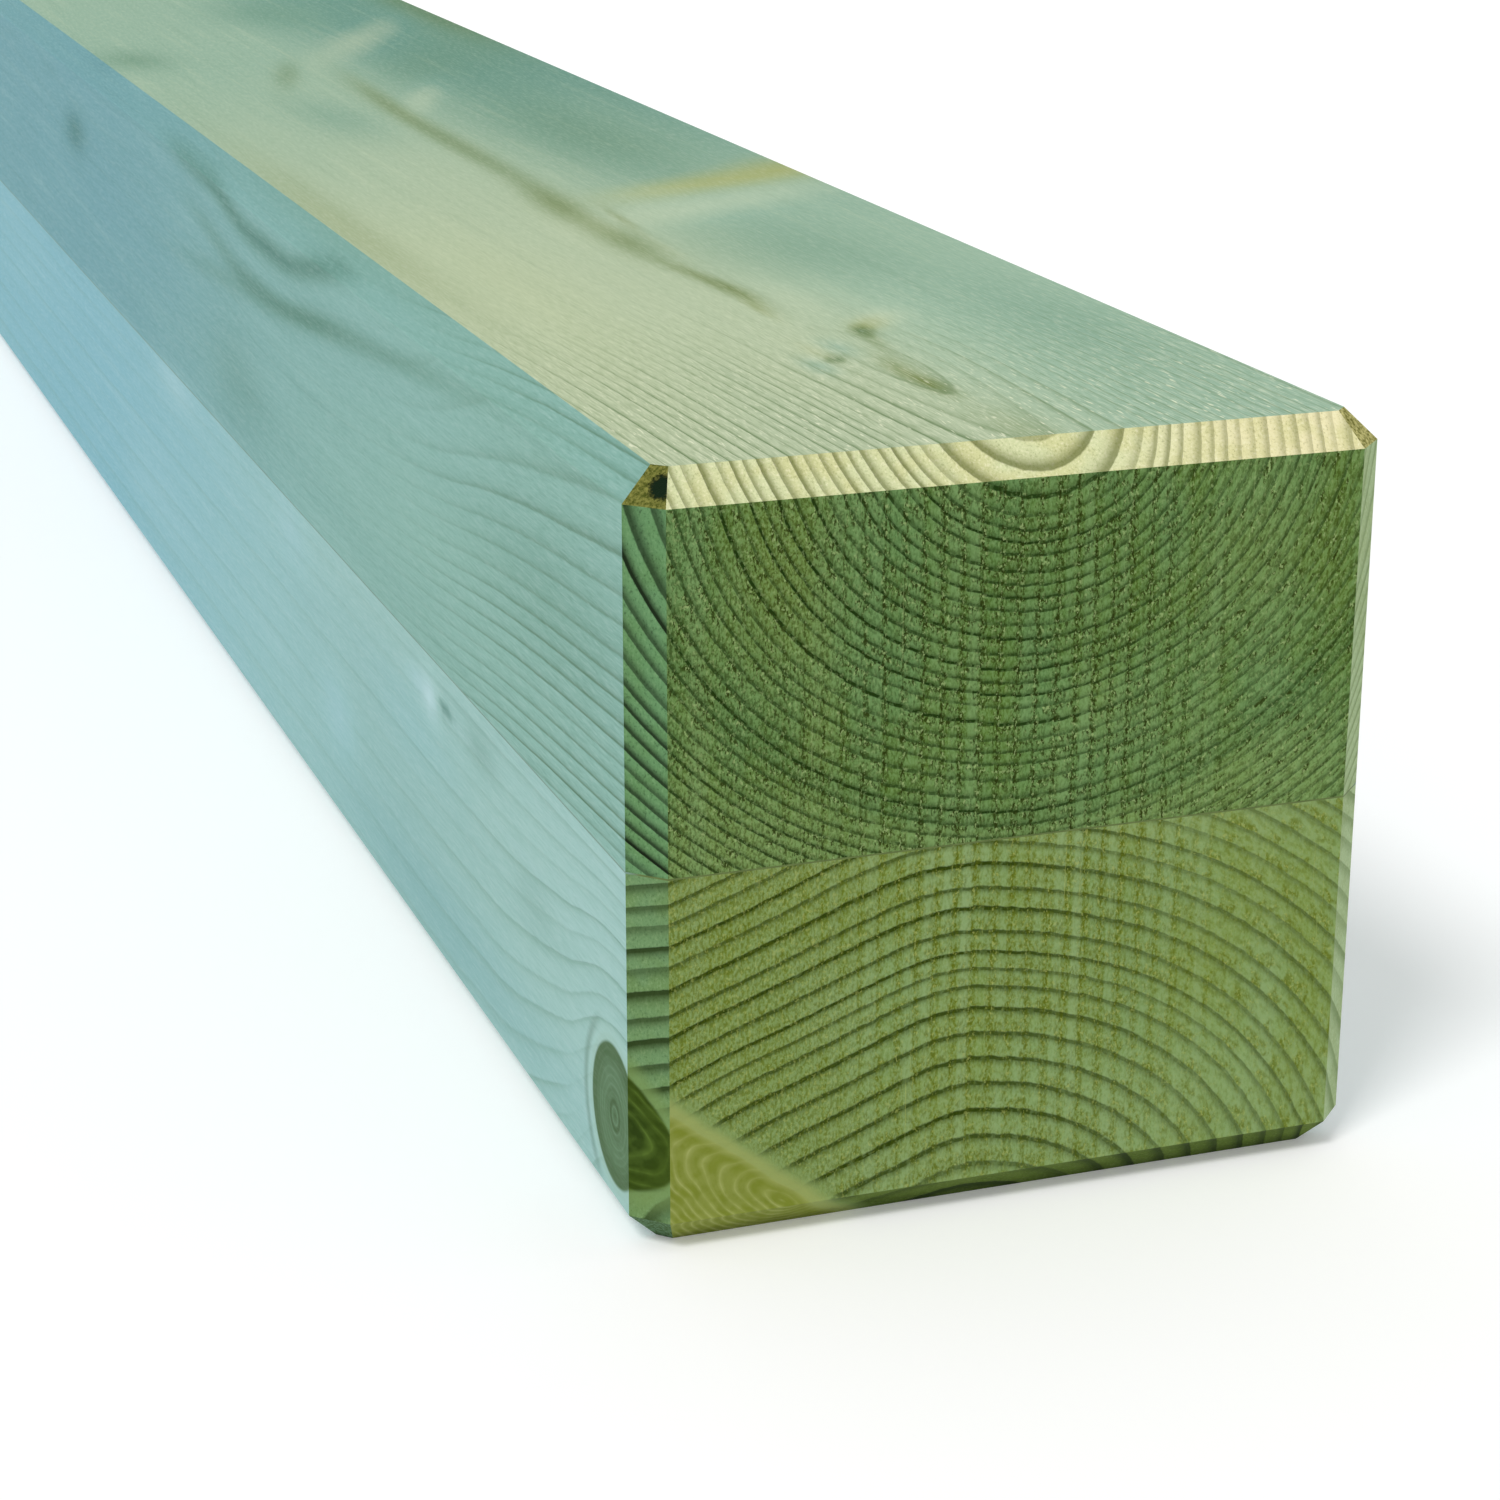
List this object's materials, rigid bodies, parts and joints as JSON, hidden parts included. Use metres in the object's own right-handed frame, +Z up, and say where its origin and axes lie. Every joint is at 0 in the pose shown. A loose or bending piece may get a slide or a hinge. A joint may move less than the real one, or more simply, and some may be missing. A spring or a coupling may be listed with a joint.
{
  "type": "glulam post",
  "caption": "Square pressure-treated glulam post with chamfered long edges and a chamfered head, its laminations glued along mid height.",
  "frame": {"origin": "middle of the long face that the post lies on", "axes": "+Y along the post from its chamfered head to its foot, +Z up from the face that it lies on and square to the glue line, +X across"},
  "size_m": [0.09, 2.4, 0.0902],
  "materials": {
    "upper_wood": "planed, preservative-green softwood",
    "lower_wood": "planed, preservative-green softwood",
    "adhesive": "set adhesive, planed flush"
  },
  "bodies": {
    "root": {"upper_lamination": "upper_wood", "lower_lamination": "lower_wood", "glue_line": "adhesive"}
  },
  "joints": []
}
